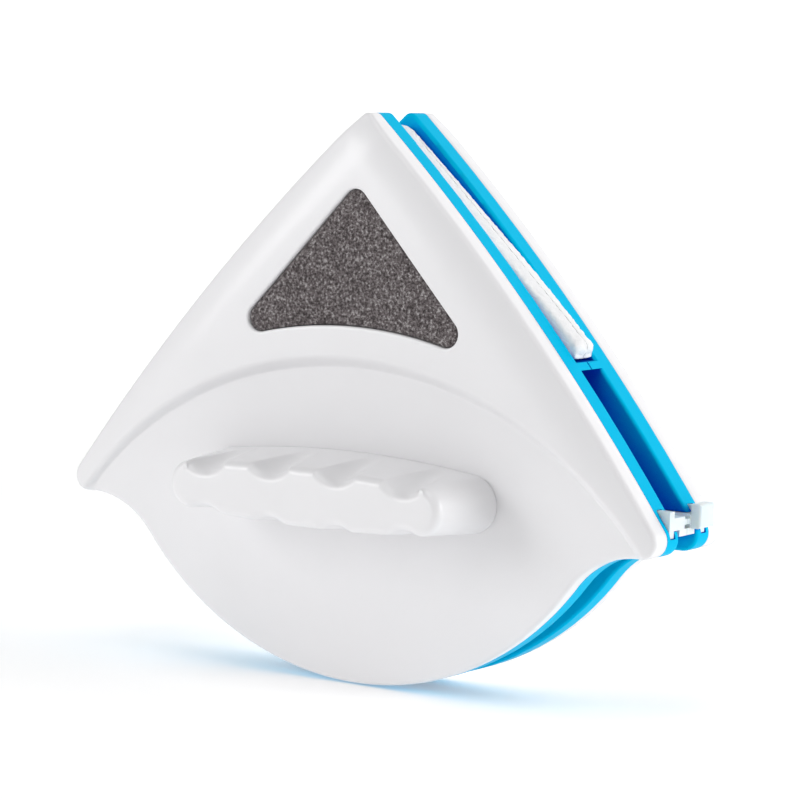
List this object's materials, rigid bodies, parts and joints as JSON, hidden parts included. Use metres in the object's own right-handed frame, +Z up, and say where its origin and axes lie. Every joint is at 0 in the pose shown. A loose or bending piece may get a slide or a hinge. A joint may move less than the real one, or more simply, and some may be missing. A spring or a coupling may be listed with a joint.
{
  "type": "magnetic window cleaner",
  "caption": "Two-sided magnetic window cleaner: triangular halves with grooved grips, sponge windows, cotton pads and slide-in squeegees that clamp a glass pane.",
  "frame": {"origin": "on the clamping plane, where the glass goes, midway between the two lower corners and level with them", "axes": "+X to the right and +Z up as the cleaner hangs on a window, +Y from the inner half with the user towards the outer half; the inner half is at -Y"},
  "size_m": [0.2063, 0.0924, 0.1695],
  "materials": {
    "white_shell": "satin moulded ABS",
    "cyan_plastic": "glossy moulded ABS",
    "grey_foam": "coarse open-cell scouring foam with pale specks",
    "white_cotton": "brushed cotton fleece",
    "hook_tape": "woven hook tape",
    "clear_silicone": "milky translucent silicone",
    "magnet": "sintered ferrite",
    "yoke_steel": "zinc-plated sheet",
    "screw_steel": "zinc plated",
    "grey_plastic": "moulded nylon"
  },
  "bodies": {
    "inner_half": {"inner_cover": "white_shell", "inner_handle": "white_shell", "inner_handle_screws": "screw_steel", "inner_scouring_sponge": "grey_foam", "inner_base": "cyan_plastic", "inner_case_screws": "screw_steel", "inner_magnet_left": "magnet", "inner_magnet_right": "magnet", "inner_yoke_plate": "yoke_steel", "inner_yoke_screws": "screw_steel", "inner_hook_tapes": "hook_tape", "inner_apex_pad": "white_cotton", "inner_centre_pad": "white_cotton"},
    "outer_half": {"outer_cover": "white_shell", "outer_handle": "white_shell", "outer_handle_screws": "screw_steel", "outer_scouring_sponge": "grey_foam", "outer_base": "cyan_plastic", "outer_case_screws": "screw_steel", "outer_magnet_left": "magnet", "outer_magnet_right": "magnet", "outer_yoke_plate": "yoke_steel", "outer_yoke_screws": "screw_steel", "outer_hook_tapes": "hook_tape", "outer_apex_pad": "white_cotton", "outer_centre_pad": "white_cotton", "outer_rope_grommet": "grey_plastic"},
    "inner_squeegee_strip": {"inner_squeegee": "clear_silicone"},
    "outer_squeegee_strip": {"outer_squeegee": "clear_silicone"}
  },
  "joints": [
    {"name": "outer_half_pull", "type": "slide", "parent": "inner_half", "child": "outer_half", "axis": [0, 1, 0], "range_m": [0, 0.1]},
    {"name": "inner_squeegee_slide", "type": "slide", "parent": "inner_half", "child": "inner_squeegee_strip", "axis": [1, 0, 0], "range_m": [0, 0.19]},
    {"name": "outer_squeegee_slide", "type": "slide", "parent": "outer_half", "child": "outer_squeegee_strip", "axis": [1, 0, 0], "range_m": [0, 0.19]}
  ]
}
